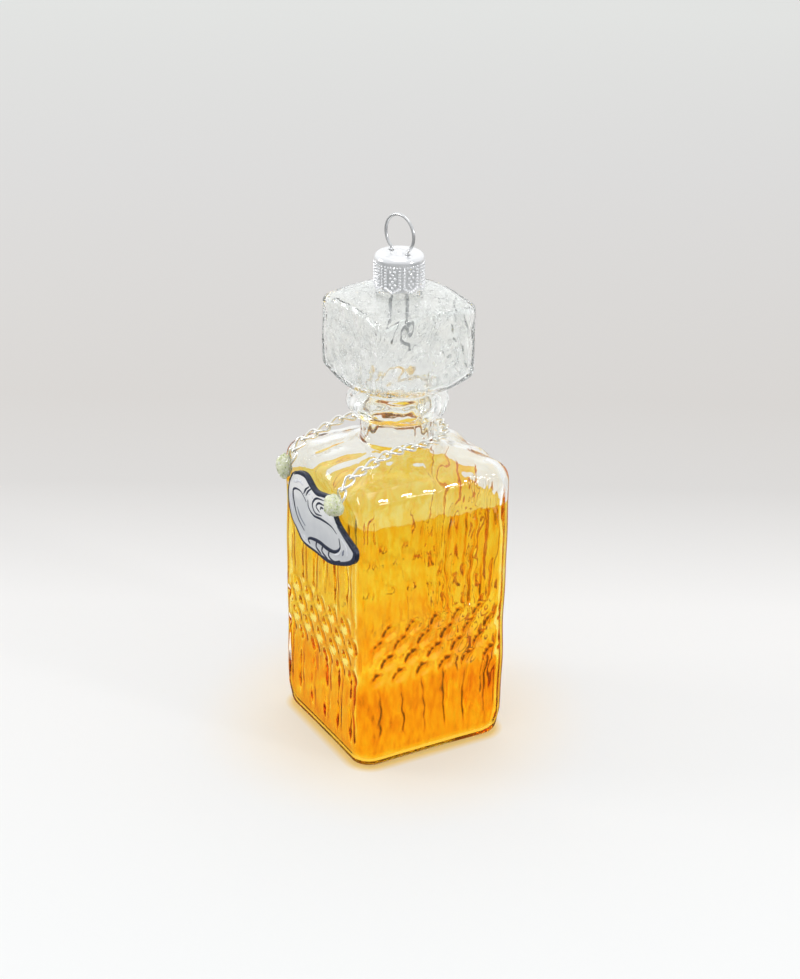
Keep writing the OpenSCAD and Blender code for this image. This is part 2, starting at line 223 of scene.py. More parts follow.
# %% [markdown]
# ## Amber lacquer
# The colour is a clear dyed lacquer on the inside wall. Light that crosses one coat comes
# out straw yellow, and light that crosses the front and the back coat comes out orange.
# The lacquer is bonded to the glass, so light goes from one to the other with no bounce.
# An IOR of 1 gives that: the coat filters light and leaves the bending to the glass.
# It pooled while it dried: it is deeper in the pattern's grooves, below the band and in slow
# streaks, and thin at the base's edge. Round each slanted cut of the band it is also drawn
# deeper along one side, as painted shade, and lighter in a ring just outside, as a painted
# highlight. The mesh attribute "groove" says how deep the coat is drawn at each point, this
# painted shade and highlight included, and is below 0 where the coat is thinned and in the
# painted highlight.

# %% Material: dyed amber lacquer
amber, tree, shader = start_material(
    "dyed amber lacquer", Roughness=0.05, IOR=1.0, Transmission_Weight=0.97)
spot = add_node(tree, "TexCoord", out="Object")
height = add_node(tree, "SeparateXYZ", (spot,), out="Z")
# The groove attribute is the coat's depth, with the painted shade and highlight round the band's cuts.
groove = add_node(tree, "Attribute", out="Fac", attribute_name="groove")
stretched = add_node(tree, "Mapping", {"Scale": (1.0, 1.0, 0.3), "Vector": spot})
wide = add_node(tree, "TexNoise", {"Scale": per_mm(4), "Detail": 4.0, "Roughness": 0.6,
                                   "Vector": stretched})
fine = add_node(tree, "TexNoise", {"Scale": per_mm(1.1), "Detail": 3.0, "Vector": stretched})
streaks = add_node(tree, "MapRange", (wide, 0.3, 0.7, 0.0, 0.42))
depth = add_node(tree, "Math", (groove, 0.9, streaks), operation="MULTIPLY_ADD")
for inputs in ((fine, 0.35, 0.7, -0.2, 0.14),               # fine streaks
               (height, 21.5 * MM, 18 * MM, 0.0, 0.36),     # deeper below the band
               (height, 3.5 * MM, 1.5 * MM, 0.0, -0.75)):   # thin at the base's edge
    more = add_node(tree, "MapRange", inputs)
    depth = add_node(tree, "Math", (depth, more), operation="ADD")
coat = add_node(tree, "ValToRGB", (depth,), stops=[
    (0.0, "#FFE978"), (0.22, "#FFDA48"), (0.45, "#FFCA2A"), (0.7, "#F4AC1C"), (1.0, "#8A620C")])
tree.links.new(coat, shader.inputs["Base Color"])
print("made", amber.name)

# %% [markdown]
# ## The outline of the glass
# The glass is square where it is a bottle and round where it is a neck. A rounded square
# gives both: when its corner's radius reaches half its width, it has become a circle.

# %% A rounded square by angle
_, glass_high = node_box("decanter_glass")
FLUTE_RISE = 0.3
BODY_HALF = glass_high[0] - FLUTE_RISE
BODY_CORNER = 2.8
AROUND, FLAT_SHARE = 480, 0.84     # points round the glass, and the share on its flats

corner_angle = math.atan2(BODY_HALF - BODY_CORNER, BODY_HALF)
flat_points = int(AROUND / 8 * FLAT_SHARE)
flat_angles = np.arctan(np.linspace(0, math.tan(corner_angle), flat_points, endpoint=False))
turn_angles = np.linspace(corner_angle, math.pi / 4, AROUND // 8 - flat_points + 1)[:-1]
eighth = np.concatenate([flat_angles, turn_angles])
quarter = np.concatenate([eighth, [math.pi / 4], (math.pi / 2 - eighth[::-1])[:-1]])
angles = np.concatenate([quarter + k * math.pi / 2 for k in range(4)])


def rounded_square(half, radius):
    """Distance from the axis to a rounded square's edge, at each of the angles."""
    folded = np.abs((angles + math.pi / 4) % (math.pi / 2) - math.pi / 4)
    flat = half / np.cos(folded)
    centre = half - radius
    along = centre * (np.cos(folded) + np.sin(folded))
    inside = np.maximum(along ** 2 - (2 * centre ** 2 - radius ** 2), 0)
    corner = along + np.sqrt(inside)
    return np.where(half * np.tan(folded) <= centre, flat, corner)


print(len(angles), "points go round the glass")

# %% [markdown]
# The wall is then a list of stations from the middle of the base to the rim. Each one says
# how wide the glass is there, how round its corners are, and how high. The two domed faces
# of the stopper head are parts of spheres, so their height depends on how far out a point is.
# A fillet rounds the wall where two stations meet, because blown glass has no sharp edge.

# %% Stations of the wall
SHOULDER_Z, SHOULDER_SLOPE = 63.0, math.radians(20)
BEND_RISE, BEND_FILLET = 2.6, 3.6          # where a face would meet the shoulder's slope
BASE_INSET, BASE_ROUNDER, BASE_FILLET, BASE_END_Z = 0.3, 1.6, 2.0, 5.5
NECK_HALF, LIP_Z, LIP_ROLL, THROAT = 8.0, 78.22, 3.2, 8.54
HEAD_HALF, HEAD_CORNER, HEAD_Z, HEAD_H = 12.3, 2.2, 83.22, 18.2
HEAD_TURN = math.radians(4)
UNDERSIDE_R, CROWN_R = 34.0, 54.0
TOP_NECK_HALF, TOP_NECK_H = 4.6, 7.8
# From square to round: (half width, how round the corners are there, 1 for a circle)
SHOULDER_WIDTHS = ((15.5, 0.30), (13.5, 0.36), (11.5, 0.5), (10.0, 0.7))
UNDERSIDE_WIDTHS = ((9.6, 0.8), (10.7, 0.5), (11.6, 0.28))
CROWN_WIDTHS = ((11, 0.25), (9.5, 0.4), (8, 0.65), (6.6, 1.0))
under_c = HEAD_Z + math.sqrt(UNDERSIDE_R ** 2 - HEAD_HALF ** 2)
crown_c = HEAD_Z + HEAD_H - math.sqrt(CROWN_R ** 2 - HEAD_HALF ** 2)
RIM_Z = crown_c + CROWN_R + TOP_NECK_H


def flat(z):
    return lambda out: np.full_like(out, z)


def underside(t):
    return lambda out: under_c - np.sqrt(np.maximum((UNDERSIDE_R - t) ** 2 - out ** 2, 0))


def crown(t):
    return lambda out: crown_c + np.sqrt(np.maximum((CROWN_R - t) ** 2 - out ** 2, 0))


def stations(t):
    """(half width, corner radius, height, fillet) of the wall, set in by t."""
    body, head, neck, throat = BODY_HALF - t, HEAD_HALF - t, NECK_HALF - t, THROAT - t
    corner, head_corner = BODY_CORNER - 0.5 * t, HEAD_CORNER - 0.5 * t
    roll, bend_z = LIP_ROLL - t, SHOULDER_Z + BEND_RISE - t
    wall = [(0.4, 0.4, flat(t), 0)]
    wall += [(w, corner * w / body, flat(t), 0) for w in (4, 8, 12, 15)]
    wall += [(body - BASE_INSET, corner + BASE_ROUNDER, flat(t), BASE_FILLET),
             (body, corner + 0.4, flat(BASE_END_Z), 0)]
    wall += [(body, corner, flat(z), 0) for z in (9, 20, 35, 50)]
    wall += [(body, corner, flat(bend_z), BEND_FILLET)]
    for w, roundness in SHOULDER_WIDTHS:
        w = w - t
        height = flat(bend_z + (body - w) * math.tan(SHOULDER_SLOPE))
        wall += [(w, corner + (w - corner) * (roundness - 0.24), height, 0)]
    neck_foot = bend_z + (body - neck) * math.tan(SHOULDER_SLOPE)
    wall += [(neck, neck, flat(neck_foot), 0.8), (neck, neck, flat(LIP_Z - LIP_ROLL + 0.2), 0.5)]
    for degrees in range(-50, 51, 20):
        a = math.radians(degrees)
        w = neck + roll * math.cos(a)
        wall += [(w, w, flat(LIP_Z + roll * math.sin(a)), 0)]
    wall += [(throat, throat, flat(LIP_Z + LIP_ROLL - 0.1), 0.6)]
    for w, roundness in ((throat + 0.3, 1.0), *((w - t, roundness) for w, roundness in UNDERSIDE_WIDTHS)):
        wall += [(w, head_corner + (w - head_corner) * roundness, underside(t), 0)]
    wall += [(head, head_corner, underside(t), 1.3)]
    wall += [(head, head_corner, flat(HEAD_Z + HEAD_H / 2 + 1.2), 0)]
    wall += [(head, head_corner, crown(t), 1.0)]
    for w, roundness in CROWN_WIDTHS:
        w = w - t * 0.5
        wall += [(w, head_corner + (w - head_corner) * roundness, crown(t), 0)]
    top = TOP_NECK_HALF - 0.8 * t
    wall += [(top, top, crown(t), 0.8), (top, top, flat(RIM_Z - 0.5), 0.4)]
    wall += [(top - (0.3 if t == 0 else -0.05), top - 0.3, flat(RIM_Z - (0 if t == 0 else 0.05)), 0)]
    return wall


print(len(stations(0)), "stations from base to rim")

# %% [markdown]
# Between stations the wall is filled with rings of points, close together where the glass
# is patterned. The fillets are curves with the sharp meeting point as their handle.

# %% Rings between the stations
FILLET_STEPS, OUTER_STEP = 6, 0.55


def wall_rings(t, spacing):
    """Rings of (distance from the axis, height) for the wall set in by t."""
    keys = []
    for half, radius, height, fillet in stations(t):
        out = rounded_square(half, min(radius, half))
        keys.append((np.stack([out, height(out)], axis=1), fillet))
    rings = []

    def run(a, b, step):
        length = np.linalg.norm(b - a, axis=1).max()
        count = max(int(round(length / step)), 1)
        for i in range(count):
            rings.append(a + (b - a) * i / count)

    last = keys[0][0]
    for (before, _), (here, fillet), (after, _) in zip(keys, keys[1:], keys[2:]):
        if fillet == 0:
            run(last, here, spacing)
            last = here
            continue
        back, ahead = before - here, after - here
        room_back = np.linalg.norm(back, axis=1, keepdims=True)
        room_ahead = np.linalg.norm(ahead, axis=1, keepdims=True)
        enter = here + back / room_back * np.minimum(fillet, 0.8 * room_back)
        leave = here + ahead / room_ahead * np.minimum(fillet, 0.8 * room_ahead)
        run(last, enter, spacing)
        for u in np.arange(FILLET_STEPS) / FILLET_STEPS:
            rings.append((1 - u) ** 2 * enter + 2 * u * (1 - u) * here + u * u * leave)
        last = leave
    run(last, keys[-1][0], spacing)
    rings.append(keys[-1][0])
    return np.array(rings)


outer_rings = wall_rings(0, OUTER_STEP)
print(len(outer_rings), "rings outside")

# %% [markdown]
# ## The pattern in the glass
# The mould gave each body face upright flutes, with a band of short slanted cuts across
# them. The glass never filled the mould evenly: flutes wander, fade and run into each
# other. The head was hammered all over in shallow dimples. Both are made here by moving
# the mesh, since only real relief bends light the way thick glass does.

# %% Slow waves for hand-made surfaces
WAVES = 7


def waves(u, v, seed, size):
    """A smooth wandering value between about -1 and 1, with features of that size in mm."""
    total = np.zeros_like(u)
    dice = np.random.default_rng(seed)
    for _ in range(WAVES):
        direction, phase = dice.uniform(0, 2 * math.pi, 2)
        stretch = dice.uniform(0.6, 1.6)
        total += np.sin((u * math.cos(direction) + v * math.sin(direction))
                        * 2 * math.pi / (size * stretch) + phase)
    return total / (WAVES / 2)


def dimples(u, v, seed, size):
    """0 between dimples and about 1 at the middle of one, with no crease between them."""
    dice = np.random.default_rng(seed)
    depth = np.zeros_like(u)
    for row in range(-4, 5):
        for column in range(-5, 6):
            cu = (column + 0.5 * (row % 2) + dice.uniform(-0.3, 0.3)) * size
            cv = (row * 0.87 + dice.uniform(-0.25, 0.25)) * size
            lean, long = dice.uniform(0, math.pi), dice.uniform(1.0, 1.5)
            du, dv = u - cu, v - cv
            along = (du * math.cos(lean) + dv * math.sin(lean)) / long
            across = -du * math.sin(lean) + dv * math.cos(lean)
            depth += np.exp(-(along ** 2 + across ** 2) / (0.4 * size) ** 2)
    return depth


print("waves at the origin:", round(float(waves(np.zeros(1), np.zeros(1), 1, 5.0)[0]), 3))

# %% Flutes, slanted cuts and dimples
FLUTE_PITCH = 5.8
FLUTE_DEPTH = 0.65
DIMPLE_PITCH = 4.2
BAND_LOW, BAND_HIGH, BAND_ROWS = 20.0, 35.0, 4
FLUTE_LOW, FLUTE_HIGH = 4.5, 61.5
CUT_LEAN = math.radians(48)
CUT_HALF_L, CUT_HALF_W = 2.2, 1.4
CROWD_PITCH = 2.3     # finer lines right of the middle of the +X face
# How strongly the lacquer shows its lines on the faces +X, +Y, -X and -Y
LINE_SHARES = (1.0, 0.3, 0.25, 0.45)
LABEL_FACE, THINNER_COAT = 3, 0.16


def fade(value, low, high):
    u = np.clip((value - low) / (high - low), 0, 1)
    return u * u * (3 - 2 * u)


def flute_relief(u, z, face):
    """Relief of a body face, -1 in a groove and 0 on a flute, and how deep the lacquer lies, with painted
    shade and a painted highlight round each cut.
    """
    slant = -1 if face % 2 == 0 else 1
    wander = 0.22 * waves(u, z, 10 + face, 30) + 0.05 * waves(u, z, 20 + face, 7)
    ridge = 1 - np.abs(2 * ((u / FLUTE_PITCH + wander + 0.5) % 1) - 1)
    flutes = -(1 - np.minimum(ridge * 2.2, 1)) ** 1.5
    lines = (1 - np.minimum(ridge * 4.5, 1)) ** 1.2
    strength = np.clip(0.6 + 0.6 * waves(u, z / 2.5, 30 + face, 7), 0.1, 1)
    if face == 0:
        between = 1 - np.abs(2 * ((u / CROWD_PITCH + 1.4 * wander) % 1) - 1)
        crowd = (1 - np.minimum(between * 3, 1)) * fade(u, 3, 7) * fade(z, BAND_HIGH - 2, BAND_HIGH + 2)
        lines = np.maximum(lines, 0.9 * crowd)
        strength = strength * np.maximum(1.4 * fade(u, -5, 4), 1 - 0.8 * fade(z, BAND_LOW, BAND_LOW + 2))
    row_h = (BAND_HIGH - BAND_LOW) / BAND_ROWS
    row = np.floor((z - BAND_LOW) / row_h)
    up = (((z - BAND_LOW) / row_h) % 1 - 0.5) * row_h
    aside = ((u / FLUTE_PITCH + 0.5 * (row % 2) + 0.4 * wander) % 1 - 0.5) * FLUTE_PITCH
    along = -slant * aside * math.sin(CUT_LEAN) + up * math.cos(CUT_LEAN)
    over = aside * math.cos(CUT_LEAN) + slant * up * math.sin(CUT_LEAN)
    away = np.hypot(along / CUT_HALF_L, over / CUT_HALF_W)
    cuts = -(1 - np.minimum(away, 1) ** 2)
    # Painted shade and highlight: the coat is drawn deeper along one side of each cut as painted shade, a
    # little deeper inside it, and lighter in a ring just outside as a painted highlight.
    cut_shade_and_highlight = np.exp(-((away - 0.8) / 0.24) ** 2) * fade(-over, -0.1, 0.7) \
        + 0.25 * (1 - np.minimum(away, 1))
    cut_shade_and_highlight -= 0.45 * np.exp(-((away - 1.3) / 0.22) ** 2)
    in_band = fade(z, BAND_LOW - 0.8, BAND_LOW + 0.8) * (1 - fade(z, BAND_HIGH - 0.8, BAND_HIGH + 0.8))
    ends_fade = fade(z, FLUTE_LOW, FLUTE_LOW + 4) * (1 - fade(z, FLUTE_HIGH - 5, FLUTE_HIGH))
    side_fade = 1 - fade(np.abs(u), BODY_HALF - BODY_CORNER - 1.0, BODY_HALF - BODY_CORNER + 0.8)
    relief = flutes * strength * (1 - in_band) + cuts * in_band
    lacquer = (lines * strength * (1 - in_band) + cut_shade_and_highlight * in_band) * LINE_SHARES[face]
    if face == LABEL_FACE:
        lacquer = lacquer - THINNER_COAT
    return relief * ends_fade * side_fade, lacquer * (1 + 0.25 * in_band) * ends_fade * side_fade


print("flutes at a pitch of", FLUTE_PITCH, "mm and", BAND_ROWS, "rows of cuts")

# %% Pressing the pattern into the rings
PRESSED_LOW, PRESSED_HIGH = 1.0, 66.0                 # heights where the body takes the pattern
FACE_STARTS, FACE_ENDS = (2, 6), (58, 64)             # where its flat faces rise and sink again
NECK_STARTS, NECK_ENDS = (71, 73), (83, 85)           # and where the neck's finer waves do
SHOULDER_TOP, SHOULDER_IN = 71, 9.5


def relief_points(rings, t, strength):
    """Turn rings into points with the pattern pressed in, and say how deep the lacquer lies there,
    painted shade round the cuts included.
    """
    out, z = rings[..., 0], rings[..., 1]
    x, y = out * np.cos(angles), out * np.sin(angles)
    face = (np.round(angles / (math.pi / 2)) % 4).astype(int)
    push, groove = np.zeros_like(out), np.zeros_like(out)
    for f in range(4):
        turn = f * math.pi / 2
        across = -x * math.sin(turn) + y * math.cos(turn)
        outward = x * math.cos(turn) + y * math.sin(turn)
        mine = (face == f)[None, :] & (z > PRESSED_LOW)
        pattern, lacquer = flute_relief(across, z, f)
        body = pattern * FLUTE_DEPTH
        body += (FLUTE_RISE - 0.05) * fade(z, *FACE_STARTS) * (1 - fade(z, *FACE_ENDS)) \
            * (1 - fade(np.abs(across), BODY_HALF - BODY_CORNER, BODY_HALF))
        if f == 0:
            body -= 0.3 * np.abs(waves(across, z, 95, 2.6)) * fade(across, 5, 9) \
                * fade(z, 56, 59) * (1 - fade(across, 15, 17))
        wall = (z < PRESSED_HIGH) & (outward > BODY_HALF - t - 0.6)
        push = np.where(mine & wall, body * strength, push)
        groove = np.where(mine & wall, lacquer, groove)
        hollows = np.minimum(dimples(across, z - HEAD_Z - 8, 50 + f, DIMPLE_PITCH), 1) ** 1.4
        side = (z > HEAD_Z - 0.5) & (outward > HEAD_HALF - t - 0.4)
        edge = 1 - fade(np.abs(across), HEAD_HALF - 2.4, HEAD_HALF - 0.4)
        push = np.where(mine & side, np.minimum(0.24 - 0.6 * hollows, 0.3) * edge * strength, push)
    folded = np.round(angles / (math.pi / 2)) * (math.pi / 2)
    x = x + push * np.cos(folded)
    y = y + push * np.sin(folded)
    slow = 0.12 * waves(angles[None, :] * 12 + 0 * z, z, 71, 17)
    slow += 0.16 * waves(angles[None, :] * 9 + 0 * z, z, 77, 4) \
        * fade(z, *NECK_STARTS) * (1 - fade(z, *NECK_ENDS))
    slow = slow * fade(z, 3, 8) * (1 - fade(z, RIM_Z - 9.5, RIM_Z - 8.5))
    shrink = 1 + np.minimum(slow - 0.12, 0) / np.maximum(out, 1)
    shoulder = (z > SHOULDER_Z) & (z < SHOULDER_TOP) & (out > SHOULDER_IN)
    sink = np.where(shoulder, 0.3 * waves(x, y, 81, 6.5) - 0.25, 0) * fade(out, SHOULDER_IN, 12)
    turn = HEAD_TURN * fade(z, LIP_Z, LIP_Z + 3)
    turned_x = (x * np.cos(turn) - y * np.sin(turn)) * shrink
    turned_y = (x * np.sin(turn) + y * np.cos(turn)) * shrink
    return np.stack([turned_x, turned_y, z + sink * strength], axis=-1), groove


outer, _ = relief_points(outer_rings, 0, 1.0)
print("glass reaches", outer.reshape(-1, 3).min(0).round(2), outer.reshape(-1, 3).max(0).round(2))

# %% [markdown]
# The inside of blown glass follows the outside, but softer, because the hot bubble only
# pressed outward against the mould. Inside and outside join at the rim under the cap, so
# the decanter is one closed shell, and light passes two skins at each wall.

# %% The glass shell
WALL, SOFTER = 0.9, 0.45
INNER_STEP = 0.8
inner, _ = relief_points(wall_rings(WALL, INNER_STEP), WALL, SOFTER)
points = np.concatenate([outer.reshape(-1, 3), inner.reshape(-1, 3)])
faces = shell_faces(len(outer), len(inner), AROUND)
glass = make_piece("blown_decanter", points, faces, [blown_glass], "decanter")
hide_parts("decanter_glass")
print("glass shell:", len(points), "points")

# %% [markdown]
# ## The amber coat
# The coat lies on the inner wall up to a ragged edge. Its two skins lie on either side of
# the inner wall, because the coat is bonded to the glass: light that bounces inside the
# wall has to pass the colour too.

# %% The lacquer film
FILL_Z = 58.0
COAT, COAT_OUT = 0.2, 0.08     # thickness, and how much of it lies in the glass


def coat_side(t):
    rings = wall_rings(WALL, INNER_STEP)
    rings = rings[rings[..., 1].max(axis=1) < FILL_Z + 1.2]
    points, groove = relief_points(rings, WALL, SOFTER)
    edge = FILL_Z + 0.8 * waves(angles * 12, angles * 3, 91, 14) \
        + 0.5 * waves(angles * 12, angles, 92, 4) + 0.2 * waves(angles * 12, angles, 93, 1.2)
    top, bend = points[-1, 0, 2], FILL_Z - 6
    stretch = (edge[None, :] - bend) / (top - bend)
    z = points[..., 2]
    points[..., 2] = np.where(z > bend, bend + (z - bend) * stretch, z)
    out = np.hypot(points[..., 0], points[..., 1])
    inward = np.where(out > 14, t, 0)
    points[..., :2] *= (1 - inward / np.maximum(out, 1))[..., None]
    points[..., 2] += np.clip(t - points[..., 2] + WALL, 0, t)
    return points, groove


(skin, groove), (inside, _) = coat_side(-COAT_OUT), coat_side(COAT - COAT_OUT)
points = np.concatenate([skin.reshape(-1, 3), inside.reshape(-1, 3)])
film = make_piece("amber_coat", points, shell_faces(len(skin), len(inside), AROUND), [amber],
                  "decanter")
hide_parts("amber_lacquer")
pooled = film.data.attributes.new("groove", "FLOAT", "POINT")
pooled.data.foreach_set("value", np.concatenate([groove.ravel(), groove.ravel()]))
print("amber coat from", points[:, 2].min().round(2), "to", points[:, 2].max().round(2), "mm")

# %% [markdown]
# ## Metals
# The cap is silvered tinplate, the wire bright drawn spring steel, and the chain is
# silver-plated. Plating this thin is milky, so each metal scatters a share of its light,
# which the metallic value sets. The wire's legs are painted darker than the ring, a painted
# shade for how dim they look through the frosted head.

# %% Materials: plated cap, spring wire, plated chain
# Heights over which the wire goes from painted shade on the legs to its own colour on the ring
LEG_SHADE_FULL_Z, LEG_SHADE_ENDS_Z = 104 * MM, 109 * MM


def metal(name, hex_code, roughness, grain_mm, depth_mm, metallic):
    """A metal skin. Its real grain is too fine to show, so it is drawn coarser, at grain_mm."""
    material, tree, shader = start_material(
        name, Base_Color=linear(hex_code), Metallic=metallic, Roughness=roughness)
    spot = add_node(tree, "TexCoord", out="Object")
    grain = add_node(tree, "TexNoise", {"Scale": per_mm(grain_mm), "Detail": 4.0, "Vector": spot})
    bump = add_node(tree, "Bump", {"Height": grain, "Strength": 0.3, "Distance": depth_mm * MM})
    tree.links.new(bump, shader.inputs["Normal"])
    return material


plated_cap = metal("silvered tinplate", "#F3F4F6", 0.14, 0.5, 0.01, metallic=0.5)
spring_wire = metal("bright drawn spring wire", "#DADBDC", 0.2, 0.3, 0.01, metallic=0.65)
plated_chain = metal("silver-plated steel", "#FBFAF4", 0.16, 0.3, 0.01, metallic=0.75)
# Painted shade: the wire's colour is grey on the legs and its own pale grey on the ring, for the legs
# seen dim through the frosted head.
tree = spring_wire.node_tree
spot = add_node(tree, "TexCoord", out="Object")
height = add_node(tree, "SeparateXYZ", (spot,), out="Z")
bright = add_node(tree, "MapRange", (height, LEG_SHADE_FULL_Z, LEG_SHADE_ENDS_Z))
tone = add_node(tree, "ValToRGB", (bright,), stops=[(0.0, "#A2A3A4"), (1.0, "#DADBDC")])
tree.links.new(tone, tree.nodes["Principled BSDF"].inputs["Base Color"])
print("metals made")

# %% [markdown]
# ## The curb chain
# A curb link is a twisted oval of round wire, so that each link lies flat against the next.
# The three main directions of a solid link's points say how it lies and how large it is,
# and a smooth link is swept along the same twisted oval.

# %% One twisted link
LINK_WIRE, LINK_RISE = 0.6, 0.45
LINK_STEPS, WIRE_SIDES = 56, 14


def link_directions(name):
    points = np.array([v.co for v in frame["nodes"][name].data.vertices]) / MM
    _, axes = np.linalg.eigh(np.cov((points - points.mean(0)).T))
    along, wide = axes[:, 2], axes[:, 1]
    basis = np.stack([along, wide, np.cross(along, wide)])
    local = (points - points.mean(0)) @ basis.T
    middle = points.mean(0) + (local.max(0) + local.min(0)) / 2 @ basis
    return middle, basis, (local.max(0) - local.min(0)) / 2


def wire_rings(path, side, over, radius, around):
    """Rings of points on a path, from two directions across it at each of its points."""
    turn = whole_turn(around)[:, None]
    return path[:, None] + radius * (np.cos(turn) * side[:, None] + np.sin(turn) * over[:, None])


def swept_tube(path, around, radius):
    """Rings round an open path, turning with it as little as possible."""
    path = np.asarray(path, float)
    ahead = closed_direction(path)
    ahead[0], ahead[-1] = path[1] - path[0], path[-1] - path[-2]
    ahead = unit(ahead)
    sides = [np.cross(ahead[0], (0.31, 0.17, 0.94))]
    for forward in ahead:
        sides.append(unit(sides[-1] - forward * (sides[-1] @ forward)))
    sides = np.array(sides[1:])
    return wire_rings(path, sides, np.cross(ahead, sides), radius, around)


def twisted_link(name):
    middle, basis, half = link_directions(name)
    a, b = half[0] - LINK_WIRE / 2, half[1] - LINK_WIRE / 2
    t = whole_turn(LINK_STEPS)
    oval = np.stack([a * np.cos(t), b * np.sin(t), LINK_RISE * np.sin(2 * t)], axis=1)
    forward = unit(np.stack([-a * np.sin(t), b * np.cos(t), 2 * LINK_RISE * np.cos(2 * t)], axis=1))
    out = np.stack([b * np.cos(t), a * np.sin(t), 0 * t], axis=1)
    out = unit(out - forward * (out * forward).sum(1, keepdims=True))
    rings = wire_rings(oval, out, np.cross(forward, out), LINK_WIRE / 2, WIRE_SIDES)
    return rings.reshape(-1, 3) @ basis + middle


def closed_tube_faces(rings, around):
    faces = ring_faces(rings, around)
    last = (rings - 1) * around
    return faces + [(last + i, last + (i + 1) % around, (i + 1) % around, i) for i in range(around)]


link_faces = closed_tube_faces(LINK_STEPS, WIRE_SIDES)
for body, members in frame["record"]["behaviour"]["bodies"].items():
    for name in members:
        if name.startswith("chain_link"):
            link = make_piece("curb_" + name, twisted_link(name), link_faces, [plated_chain],
                              body)
            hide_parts(name)
print("link half sizes in mm:", link_directions("chain_link_back")[2].round(3))

# %% [markdown]
# ## The hanger wire
# One length of spring wire, swept as one tube: small feet turned out, two legs, and a ring
# over the top that springs the legs apart inside the neck.

# %% Ring, legs and feet
WIRE_D = 0.7
WIRE_ROUND = 16
RING_R, LEG_X, FOOT_X = 4.1, 2.4, 2.6
WIRE_TURN = math.radians(15)
FOOT_SHARE = 0.52     # height of the foot's middle, as a share of the wire
wire_low, wire_high = node_box("hanger_wire")
ring_z = wire_high[2] - WIRE_D / 2 - RING_R
ring_end = math.acos(LEG_X / RING_R)
foot_z = wire_low[2] + WIRE_D * FOOT_SHARE
half_ring = [(RING_R * math.cos(a), ring_z + RING_R * math.sin(a))
             for a in np.linspace(-ring_end, math.pi / 2, 26)]
leg_top = ring_z - RING_R * math.sin(ring_end)
foot = ((0.70, 0.84), (0.35, 0.36), (0.08, 0.02), (-0.02, 0.5))
leg = [(FOOT_X + out, foot_z + up) for out, up in foot]
leg += [(LEG_X + (FOOT_X - LEG_X) * u, leg_top - 0.5 + (foot_z + 1.2 - leg_top) * u)
        for u in np.linspace(1, 0, 24)]
half_wire = leg + half_ring
line = half_wire + [(-x, z) for x, z in half_wire[-2::-1]]
path = [(x * math.cos(WIRE_TURN), x * math.sin(WIRE_TURN), z) for x, z in line]
tube = swept_tube(path, WIRE_ROUND, WIRE_D / 2)
wire = make_piece("spring_hanger", tube.reshape(-1, 3), stack_faces(len(tube), WIRE_ROUND),
                  [spring_wire], "hanger")
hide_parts("hanger_wire")
print("wire from", tube[..., 2].min().round(2), "to", tube[..., 2].max().round(2), "mm")

# %% [markdown]
# ## The crown cap
# The cap is thin sheet drawn into a cup, with a plain rounded top and a skirt pressed into
# eight tall panels, each edged by tiny beads and ending below in a point. The skirt is a
# fine grid of points moved in and out, so the beads are true relief. Two drilled holes let
# the wire through.

# %% Beads round the cap's panels
PANELS = 8
CAP_AROUND = 576
CAP_T = 0.3
PANEL_RISE = 0.25
cap_low, cap_high = node_box("ornament_cap")
cap_foot = cap_low[2]
CAP_SKIRT = cap_high[0] - PANEL_RISE
CAP_TOP = 110.95
CAP_EDGE = 1.1
cap_turn = whole_turn(CAP_AROUND)
panel_w = 2 * math.pi * CAP_SKIRT / PANELS
across = ((cap_turn * PANELS / (2 * math.pi) + 0.5) % 1 - 0.5) * panel_w
BEAD_PITCH, BEAD_R, BEAD_RISE = 0.68, 0.28, 0.3
PANEL_HALF, PANEL_TOP, PANEL_FOOT, PANEL_POINT = 1.55, 5.7, 1.2, 0.35


def bead_row(start, end):
    count = max(int(round(math.dist(start, end) / BEAD_PITCH)), 1)
    return list(np.linspace(start, end, count + 1))


beads = []
for edge in (-PANEL_HALF, PANEL_HALF):
    beads += bead_row((edge, PANEL_FOOT), (edge, PANEL_TOP))
    beads += bead_row((edge, PANEL_FOOT), (0, PANEL_POINT))
beads += bead_row((-0.95, PANEL_TOP), (0.95, PANEL_TOP))
beads += [(0, up) for up in (1.3, 2.7, 4.1)] + [(x, up) for up in (2.0, 3.4, 4.8) for x in (-0.5, 0.5)]
print(len(beads), "beads on each of", PANELS, "panels")


# %% The cap's pressed skirt and rounded top
CAP_BUTTON = [(0.02, 0.4), (0.8, 0.39), (1.2, 0.34), (1.45, 0.16), (1.62, -0.06), (1.9, -0.08),
              (2.6, -0.02), (3.4, 0)]     # (distance from the axis, height above the cap's top)
SKIRT_ROWS = 84
POINT_H = 0.5                             # how far the foot rises between two points


def skirt_relief(up):
    """How far the skirt stands out at that height above the cap's foot, in mm."""
    slant = 0.55 * np.abs(across)
    recess = (1 - fade(np.abs(across), PANEL_HALF - 0.1, PANEL_HALF + 0.25)) \
        * fade(up, 0.3 + slant, 0.6 + slant) * (1 - fade(up, PANEL_TOP + 0.1, PANEL_TOP + 0.4))
    bump = np.zeros_like(across)
    for x, z in beads:
        away = np.hypot(across - x, up - z) / BEAD_R
        bump = np.maximum(bump, np.sqrt(np.maximum(1 - away ** 2, 0)) * BEAD_RISE)
    return bump - 0.2 * recess


def cap_ring(radius, z):
    return np.stack([radius * np.cos(cap_turn), radius * np.sin(cap_turn), z + 0 * cap_turn], axis=1)


